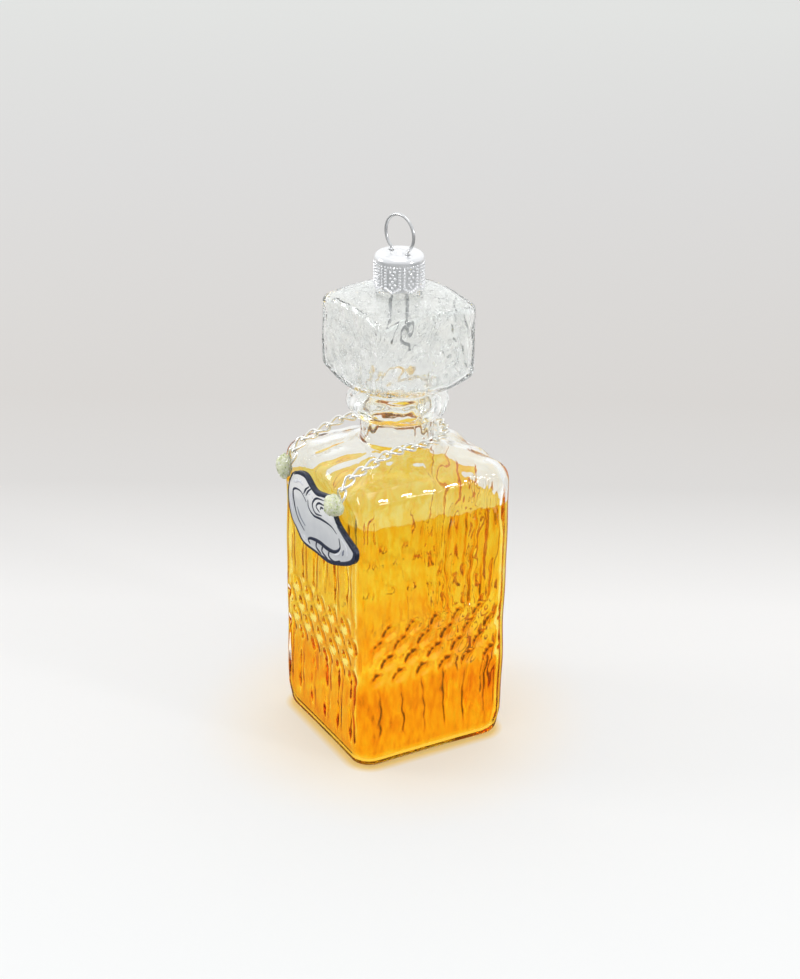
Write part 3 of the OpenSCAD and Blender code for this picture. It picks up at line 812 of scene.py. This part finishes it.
outside = [cap_ring(radius, CAP_TOP + up) for radius, up in CAP_BUTTON]
for a in np.linspace(0, math.pi / 2, 12):
    outside.append(cap_ring(CAP_SKIRT - CAP_EDGE + CAP_EDGE * math.sin(a),
                            CAP_TOP - CAP_EDGE + CAP_EDGE * math.cos(a)))
point = POINT_H * np.abs(across) / (panel_w / 2)
for up in np.linspace(CAP_TOP - CAP_EDGE - cap_foot, 0, SKIRT_ROWS)[1:]:
    height = up + point * max(1 - up / 2.0, 0)
    outside.append(cap_ring(CAP_SKIRT + skirt_relief(height), cap_foot + height))
lining = [cap_ring(CAP_SKIRT - CAP_T - 0.16, cap_foot + point + up * (1 - point / 6))
          for up in (0.0, 2.0, 4.0, 6.0)]
lining += [cap_ring(CAP_SKIRT - CAP_T - 0.3, CAP_TOP - 0.8), cap_ring(CAP_SKIRT - 1.3, CAP_TOP - CAP_T),
           cap_ring(0.02, CAP_TOP - CAP_T)]
rings = np.array(outside + lining)
cap = make_piece("crown_cap", rings.reshape(-1, 3), stack_faces(len(rings), CAP_AROUND, flip=True),
                 [plated_cap], "cap")
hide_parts("ornament_cap")
print("cap:", len(rings), "rings of", CAP_AROUND, "points")

# %% The wire's holes, drilled through the cap
HOLE_R, DRILL_LENGTH = 0.55, 2.0
drill_mesh = bpy.data.meshes.new("drill")
drill = bmesh.new()
for side in (-1, 1):
    leg_x = side * LEG_X
    hole = Vector((leg_x * math.cos(WIRE_TURN), leg_x * math.sin(WIRE_TURN), CAP_TOP))
    bmesh.ops.create_cone(drill, cap_ends=True, segments=40, radius1=HOLE_R * MM, radius2=HOLE_R * MM,
                          depth=DRILL_LENGTH * MM, matrix=Matrix.Translation(hole * MM))
drill.to_mesh(drill_mesh)
drill.free()
tool = bpy.data.objects.new("drill", drill_mesh)
cut = cap.modifiers.new("wire holes", "BOOLEAN")
cut.operation, cut.solver, cut.object = "DIFFERENCE", "EXACT", tool
drilled = bpy.data.meshes.new_from_object(cap.evaluated_get(bpy.context.evaluated_depsgraph_get()))
cap.modifiers.clear()
cap.data = drilled
bpy.data.objects.remove(tool)
print("cap after drilling:", len(cap.data.polygons), "faces")

# %% [markdown]
# ## The label plate
# The plate is thin printed sheet, cut round a scrolled cartouche. Its silver ground is
# printed with a dark blue outline, scroll lines and white lights round a bare field. The
# plate's edge repeats the solid's. Each printed line is a low ridge of ink, so it keeps its
# shape in every view.

# %% Materials: silver print and ink
FIELD_FOOT, FIELD_TOP = 46 * MM, 63.5 * MM
print_silver, tree, shader = start_material(
    "silver-printed tin sheet", Metallic=0.15, Roughness=0.38)
spot = add_node(tree, "TexCoord", out="Object")
height = add_node(tree, "SeparateXYZ", (spot,), out="Z")
up_the_field = add_node(tree, "MapRange", (height, FIELD_FOOT, FIELD_TOP))
# The print's grain is too fine to show, so it is drawn coarser, at 0.25 mm
cloud, grain = (add_node(tree, "TexNoise", {"Scale": per_mm(size), "Vector": spot})
                for size in (4.5, 0.25))
cloud = add_node(tree, "Math", (cloud, 0.5), operation="MULTIPLY")
place = add_node(tree, "Math", (cloud, up_the_field), operation="ADD")
tone = add_node(tree, "ValToRGB", (place,), stops=[
    (0.15, "#F6F7F8"), (0.5, "#D3D6DA"), (0.8, "#E4E6E8"), (1.0, "#FCFCFC")])
tree.links.new(tone, shader.inputs["Base Color"])
bump = add_node(tree, "Bump", {"Height": grain, "Strength": 0.2, "Distance": 0.01 * MM})
tree.links.new(bump, shader.inputs["Normal"])


def ink(name, hex_code, other_hex):
    material, tree, shader = start_material(name, Roughness=0.42)
    spot = add_node(tree, "TexCoord", out="Object")
    mottle = add_node(tree, "TexNoise", {"Scale": per_mm(0.8), "Detail": 3.0, "Vector": spot})
    tone = add_node(tree, "ValToRGB", (mottle,), stops=[(0.35, hex_code), (0.65, other_hex)])
    tree.links.new(tone, shader.inputs["Base Color"])
    return material


navy_ink = ink("dark blue printing ink", "#1B2233", "#2C3550")
white_ink = ink("white printing ink", "#F1F2F5", "#DDE0E8")
grey_ink = ink("grey printing ink", "#7A8090", "#8C92A2")
print("label finishes made")

# %% The plate's edge
PLATE_MIDDLE_X, PLATE_MIDDLE_Z, PLATE_W, PLATE_H = 4.2, 55.065, 31.0, 16.6
plate_low, plate_high = node_box("label_plate")
PLATE_SHARES = [
    (-0.43, 0.38), (-0.34, 0.47), (-0.23, 0.5), (-0.1, 0.39), (0.03, 0.43), (0.13, 0.45),
    (0.22, 0.2), (0.37, 0.08), (0.49, 0), (0.48, -0.16), (0.37, -0.3), (0.13, -0.47),
    (-0.08, -0.49), (-0.27, -0.5), (-0.38, -0.37), (-0.46, -0.25), (-0.5, -0.03), (-0.49, 0.19)]


def smooth_line(points, steps, closed=False):
    """A Catmull-Rom curve through the points."""
    points = np.asarray(points, float)
    if closed:
        padded = [points[-1], *points, points[0], points[1]]
    else:
        padded = [2 * points[0] - points[1], *points, 2 * points[-1] - points[-2]]
    line = []
    for p0, p1, p2, p3 in zip(padded, padded[1:], padded[2:], padded[3:]):
        for u in np.arange(steps) / steps:
            line.append((2 * p1 + (p2 - p0) * u + (2 * p0 - 5 * p1 + 4 * p2 - p3) * u * u
                         + (3 * p1 - p0 - 3 * p2 + p3) * u ** 3) / 2)
    if not closed:
        line.append(points[-1])
    return np.array(line)


edge_line = smooth_line([(PLATE_MIDDLE_X + a * PLATE_W, PLATE_MIDDLE_Z + b * PLATE_H)
                         for a, b in PLATE_SHARES], 10, closed=True)
FRONT_Y, BACK_Y = plate_low[1], plate_high[1]


def inset(line, distance):
    ahead = unit(closed_direction(line))
    return line + distance * np.stack([ahead[:, 1], -ahead[:, 0]], axis=1)


def at_depth(line, y):
    return np.stack([line[:, 0], np.full(len(line), y), line[:, 1]], axis=1)


BEVEL = ((0.08, 0.07), (0.25, 0.01))     # inset and depth behind the front
rings = [at_depth(edge_line, BACK_Y), at_depth(edge_line, FRONT_Y + 0.25)]
rings += [at_depth(inset(edge_line, aside), FRONT_Y + behind) for aside, behind in BEVEL]
count = len(edge_line)
points = np.concatenate(rings)
faces = stack_faces(len(rings), count, flip=True)
plate = make_piece("cartouche_plate", points, faces, [print_silver, navy_ink], "label",
                   smooth=False)
plate.data.polygons.foreach_set("material_index", [1] * 3 * count + [0, 0])
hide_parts("label_plate")
print("plate edge has", count, "points")

# %% A printed line
INK_RISE = 0.07
# Across a line: place as a share of its half width, and height as a share of the ink's
INK_SECTION = ((-1, -0.03), (-0.6, 0.8), (0, 1.0), (0.6, 0.8), (1, -0.03), (0, -0.4))
TAPER = 0.25


def printed_line(name, points, widest, material, closed=False):
    line = smooth_line(points, 8, closed)
    n = len(line)
    ahead = unit(closed_direction(line) if closed else np.gradient(line, axis=0))
    side = np.stack([-ahead[:, 1], ahead[:, 0]], axis=1)
    u = np.linspace(0, 1, n)
    swell = np.ones(n) if closed else TAPER + (1 - TAPER) * np.sin(math.pi * u) ** 0.6
    swell = swell * (1 + 0.18 * np.sin(9 * u + len(name)))
    half = (widest / 2 * swell)[:, None]
    rows = [at_depth(line + side * half * share, FRONT_Y - INK_RISE * rise)
            for share, rise in INK_SECTION]
    faces = closed_tube_faces(n, len(rows)) if closed else stack_faces(n, len(rows))
    make_piece(name, np.stack(rows, axis=1).reshape(-1, 3), faces, [material], "label")


print("a printed line rises", INK_RISE, "mm")

# %% The lines on the plate
OUTLINES = [("top", 0.45, slice(2, 62, 6), 0.85), ("right_end", 0.5, slice(62, 118, 6), 1.1),
            ("foot", 0.3, slice(112, 146, 6), 0.6)]     # name, inset, stretch of the edge, width
BLUE_LINES = {                                          # name: (width, points)
    "field_left": (0.5, [(-2.6, 57.2), (-5.4, 58.6), (-8.8, 57.6), (-8.3, 54.2), (-6.6, 51.6),
                         (-3.6, 49.9)]),
    "field_top": (0.5, [(-1.9, 58.0), (-1.5, 56.3), (0.8, 55.4), (4.4, 56.0), (8.8, 56.3), (11.4, 55.6)]),
    "field_foot": (0.9, [(12.4, 55.0), (12.8, 52.9), (10.4, 51.0), (7.0, 50.3), (3.4, 50.2), (-0.2, 49.5),
                         (-1.8, 48.6), (-0.9, 47.9)]),
    "foot_scroll_0": (0.6, [(2.2, 49.9), (2.0, 48.4), (4.4, 47.7)]),
    "foot_scroll_1": (0.6, [(5.0, 50.0), (4.7, 48.5), (7.4, 47.9)]),
    "foot_scroll_2": (0.6, [(8.0, 50.2), (7.8, 48.8), (10.4, 48.6), (13.0, 50.0)]),
    "top_scroll_0": (0.5, [(5.6, 60.9), (2.0, 59.9), (0.2, 57.8), (1.6, 56.3), (4.6, 56.9)]),
    "top_scroll_1": (0.5, [(6.0, 59.8), (3.2, 59.3), (2.0, 58.0), (3.6, 57.3)]),
    "top_scroll_2": (0.5, [(5.4, 58.9), (4.2, 58.7), (4.0, 58.1)]),
    "band_line_0": (0.5, [(-3.9, 58.6), (-2.9, 60.0), (-1.3, 61.3)]),
    "band_line_1": (0.5, [(-2.8, 58.6), (-1.8, 60.0), (-0.2, 61.3)])}
LIGHTS = [
    (0.9, [(-8.6, 59.6), (-6.2, 60.8), (-4.0, 60.6)]), (0.6, [(-1.9, 59.3), (-0.7, 60.0), (0.4, 59.2)]),
    (0.7, [(13.4, 55.4), (15.8, 54.2), (16.2, 52.4)]), (0.6, [(-9.2, 56.8), (-9.9, 54.4), (-8.6, 52.0)]),
    (0.5, [(-4.0, 48.9), (-2.8, 48.0)]), (0.5, [(9.8, 50.0), (12.2, 51.2), (13.6, 53.0)])]
GREYS = [
    (0.5, [(-7.0, 54.2), (-5.6, 52.4), (-3.2, 51.2)]), (0.5, [(6.4, 58.4), (7.6, 58.9), (8.6, 60.0)]),
    (0.7, [(13.8, 51.6), (14.6, 53.2)])]

printed_line("outline_all_round", inset(edge_line, 0.14)[::3], 0.4, navy_ink, closed=True)
for name, distance, stretch, width in OUTLINES:
    printed_line("outline_" + name, inset(edge_line, distance)[stretch], width, navy_ink)
for name, (width, points) in BLUE_LINES.items():
    printed_line(name, points, width, navy_ink)
for k, (width, points) in enumerate(LIGHTS):
    printed_line(f"light_line_{k}", points, width, white_ink)
for k, (width, points) in enumerate(GREYS):
    printed_line(f"grey_line_{k}", points, width, grey_ink)
print("printed lines laid on the plate")

# %% [markdown]
# ## Drops of glitter glue
# A drop of clear glue full of glitter holds each end of the chain to the plate. The drop
# is a lumpy blob. The glitter is cut film, so it is made as tiny flat hexagons that stand
# at odd angles in the skin of the drop, each one a separate glint.

# %% Materials: glitter glue
glue, tree, shader = start_material(
    "clear glitter glue", Roughness=0.4, IOR=1.46, Transmission_Weight=0.15)
spot = add_node(tree, "TexCoord", out="Object")
specks = add_node(tree, "TexVoronoi", {"Scale": per_mm(0.4), "Vector": spot})
tone = add_node(tree, "ValToRGB", (specks,), stops=[(0.1, "#FFFFF6"), (0.6, "#E8EDC4")])
tree.links.new(tone, shader.inputs["Base Color"])
bump = add_node(tree, "Bump", {"Height": specks, "Strength": 0.6, "Distance": 0.08 * MM})
tree.links.new(bump, shader.inputs["Normal"])
flake_pale = metal("pearl glitter film", "#F8FAEE", 0.35, 0.2, 0.005, metallic=0.3)
flake_green = metal("green-gold glitter film", "#C2CE94", 0.35, 0.2, 0.005, metallic=0.3)
print("glitter finishes made")

# %% The two drops
FLAKES, FLAKE_R, FLAKE_HALF_T = 150, 0.2, 0.015
GREEN_SHARE = 0.4
DROP_AROUND, DROP_ROWS, DROP_LUMPS = 48, 30, 9


def glue_drop(name, side, stretch):
    low, high = node_box(name)
    middle, half = (low + high) / 2, (high - low) / 2 * stretch
    dice = np.random.default_rng(7 + side)
    turn = whole_turn(DROP_AROUND)
    lumps = unit(dice.normal(size=(DROP_LUMPS, 3)))

    def reach(near):
        """Share of the box's half size at which the skin lies, by how near a lump is."""
        return 0.8 + 0.2 * fade(near, 0.7, 1.0)

    rings = []
    for rise in np.linspace(-math.pi / 2 + 0.06, math.pi / 2 - 0.06, DROP_ROWS):
        ray = np.stack([np.cos(turn) * math.cos(rise), np.sin(turn) * math.cos(rise),
                        np.full(DROP_AROUND, math.sin(rise))], axis=1)
        rings.append(middle + ray * half * reach((ray @ lumps.T).max(1))[:, None])
    drop = make_piece(name + "_drop", np.concatenate(rings), stack_faces(DROP_ROWS, DROP_AROUND),
                      [glue], "label")
    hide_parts(name)
    points, faces, finish = [], [], []
    hexagon = np.arange(6) * math.pi / 3
    for k in range(FLAKES):
        ray = unit(dice.normal(size=3))
        centre = middle + ray * half * reach((ray @ lumps.T).max()) * dice.uniform(0.97, 1.02)
        facing = unit(ray + dice.normal(size=3) * 0.45)
        a = unit(np.cross(facing, (0.2, 0.5, 0.8)))
        b = np.cross(facing, a)
        size = FLAKE_R * dice.uniform(0.7, 1.3)
        ring = centre + size * (np.outer(np.cos(hexagon), a) + np.outer(np.sin(hexagon), b))
        faces += stack_faces(2, 6, start=len(points))
        points += list(ring - facing * FLAKE_HALF_T) + list(ring + facing * FLAKE_HALF_T)
        finish += [int(dice.uniform() < GREEN_SHARE)] * 8
    flakes = make_piece(name + "_flakes", points, faces, [flake_pale, flake_green], "label",
                        smooth=False)
    flakes.data.polygons.foreach_set("material_index", finish)


glue_drop("glitter_bead_left", 0, (0.85, 0.8, 1.3))
glue_drop("glitter_bead_right", 1, (1.12, 0.92, 1.12))
print(FLAKES, "flakes on each drop")

# %% [markdown]
# ## Floor, light and camera
# The photograph has a white paper sweep, a little greyer where it curves up behind. A big
# disc with that change of tone does for it. The sweep looks brighter to light that has
# passed through glass, as the lit paper behind is, and dimmer in a mirror image, as the
# room in front of the object was. Some of its light is its own glow, which fills the shadow
# as a light tent does. By the base it is painted warm, with a yellow rim, as painted light
# that came through the amber.

# %% Material: white paper sweep
AWAY = (-0.87, 0.494, 0)                     # level direction away from the camera
PAINTED_GLOW_CORNER = (13.5 * MM, 13.5 * MM, 1.0)    # the yellow rim is a rounded square round this

white_sweep, tree, shader = start_material("white paper sweep", Roughness=0.9)
spot = add_node(tree, "TexCoord", out="Object")
behind = add_node(tree, "VectorMath", (spot, AWAY), out="Value", operation="DOT_PRODUCT")
place = add_node(tree, "MapRange", (behind, -0.1, 0.8))
tone = add_node(tree, "ValToRGB", (place,), stops=[
    (0.0, "#F0F1F1"), (0.17, "#EDECEB"), (0.25, "#D5D3D1"), (0.32, "#D2CFCC"), (0.6, "#D9D8D7"),
    (0.95, "#E2E3E1")])
# Painted light: a warm pool near the middle and a yellow rim round the base, for light that came through
# the amber.
from_middle = add_node(tree, "VectorMath", (spot,), out="Value", operation="LENGTH")
near = add_node(tree, "MapRange", (from_middle, 50 * MM, 20 * MM, 0.0, 0.65),
                interpolation_type="SMOOTHSTEP")
folded = add_node(tree, "VectorMath", (spot,), operation="ABSOLUTE")
past = add_node(tree, "VectorMath", (folded, PAINTED_GLOW_CORNER), operation="SUBTRACT")
outside = add_node(tree, "VectorMath", (past,), operation="MAXIMUM")
beyond = add_node(tree, "VectorMath", (outside,), out="Value", operation="LENGTH")
rim = add_node(tree, "MapRange", (beyond, 6.6 * MM, 4.8 * MM, 0.0, 0.8))
for hex_code, share in (("#F9EBD4", near), ("#F4CB66", rim)):
    tone = add_node(tree, "Mix", {"Factor": share, "A": tone, "B": linear(hex_code)},
                    out="Result", data_type="RGBA")
tree.links.new(tone, shader.inputs["Base Color"])
print("made", white_sweep.name)

# %% How bright the sweep looks to each kind of ray
rays = add_node(tree, "LightPath").node.outputs
mirrored = add_node(tree, "MapRange", (behind, -0.25, -0.08, 0.3, 0.12))
grazed = add_node(tree, "MapRange", (behind, 0.06, 0.2, mirrored, 0.95))
seen_plain = add_node(tree, "MapRange", (rays["Is Reflection Ray"], 0.0, 1.0, 1.0, grazed))
lit = add_node(tree, "MapRange", (rays["Is Transmission Ray"], 0.0, 1.0, seen_plain, 1.3))
glow = add_node(tree, "Emission", {"Color": tone, "Strength": lit})
share = add_node(tree, "MapRange", (rays["Is Glossy Ray"], 0.0, 1.0, 0.5))
seen = add_node(tree, "MixShader", (share, shader.outputs[0], glow))
tree.links.new(seen, tree.nodes["Material Output"].inputs["Surface"])
print("sweep's light paths linked")

# %% Floor
FLOOR_R, FLOOR_RINGS, FLOOR_AROUND = 2500.0, 60, 96
FLOOR_DROP = 0.05
turns = whole_turn(FLOOR_AROUND)
radii = FLOOR_R * (np.arange(1, FLOOR_RINGS + 1) / FLOOR_RINGS) ** 2
disc = np.stack([np.outer(radii, np.cos(turns)), np.outer(radii, np.sin(turns)),
                 np.zeros((FLOOR_RINGS, FLOOR_AROUND)) - FLOOR_DROP], axis=-1).reshape(-1, 3)
floor_mesh = bpy.data.meshes.new("sweep")
floor_mesh.from_pydata((disc * MM).tolist(), [],
                       ring_faces(FLOOR_RINGS, FLOOR_AROUND) + [tuple(range(FLOOR_AROUND))])
floor_mesh.materials.append(white_sweep)
sweep = bpy.data.objects.new("sweep", floor_mesh)
bpy.context.scene.collection.objects.link(sweep)
print("floor", FLOOR_R * 2, "mm across")

# %% World and lamps
WINDOW = (-0.6, 0.34, 0.72)                  # direction of the brightest part of the room
ROOM_STRENGTH = 1.15
world = bpy.data.worlds.new("soft room")
bpy.context.scene.world = world
world.use_nodes = True
tree = world.node_tree
outward = add_node(tree, "TexCoord", out="Generated")
aim = add_node(tree, "VectorMath", (outward, WINDOW), out="Value", operation="DOT_PRODUCT")
place = add_node(tree, "MapRange", (aim, -1.0))
room = add_node(tree, "ValToRGB", (place,), stops=[
    (0.1, "#8A8B8E"), (0.4, "#CFD0D1"), (0.65, "#DCDDDE"), (0.85, "#EBECEC"), (1.0, "#FFFFFF")])
tree.links.new(room, tree.nodes["Background"].inputs["Color"])
tree.nodes["Background"].inputs["Strength"].default_value = ROOM_STRENGTH


def soft_lamp(name, place_mm, aim_mm, size_mm, watts):
    data = bpy.data.lights.new(name, "AREA")
    data.size = size_mm * MM
    data.energy = watts
    lamp = bpy.data.objects.new(name, data)
    lamp.location = Vector(place_mm) * MM
    lamp.rotation_euler = (Vector(aim_mm) - Vector(place_mm)).to_track_quat("-Z", "Y").to_euler()
    bpy.context.scene.collection.objects.link(lamp)


soft_lamp("overhead softbox", (100, -50, 900), (0, 0, 60), 500, 1.2)
soft_lamp("left lamp", (-450, -650, 260), (0, 0, 90), 260, 2.0)
soft_lamp("right lamp", (600, 340, 280), (0, 0, 90), 70, 1.1)
print("lamps set")

# %% [markdown]
# The camera was fitted to the photograph: its place and turn come from the square body's
# corners, and its focal length from how much they converge.

# %% Camera
IMAGE_H, FOCAL_PX = 979, 2075.557
SENSOR, BOUNCES = 36.0, 32
CAMERA_PLACE = (0.356768, -0.201757, 0.248247)
YAW, PITCH, ROLL = (math.radians(a) for a in (60.39407, 25.04432, 0.85))
camera_data = bpy.data.cameras.new("product camera")
camera_data.sensor_width = SENSOR
camera_data.lens = SENSOR * FOCAL_PX / IMAGE_H
camera = bpy.data.objects.new("product camera", camera_data)
bpy.context.scene.collection.objects.link(camera)
turned = Matrix.Rotation(YAW, 4, "Z") @ Matrix.Rotation(math.pi / 2 - PITCH, 4, "X")
camera.matrix_world = Matrix.Translation(CAMERA_PLACE) @ turned @ Matrix.Rotation(ROLL, 4, "Z")
bpy.context.scene.camera = camera
bpy.context.scene.view_settings.view_transform = "Standard"
for kind in ("max", "transmission", "glossy"):
    setattr(bpy.context.scene.cycles, kind + "_bounces", BOUNCES)
print("lens", round(camera_data.lens, 2), "mm")
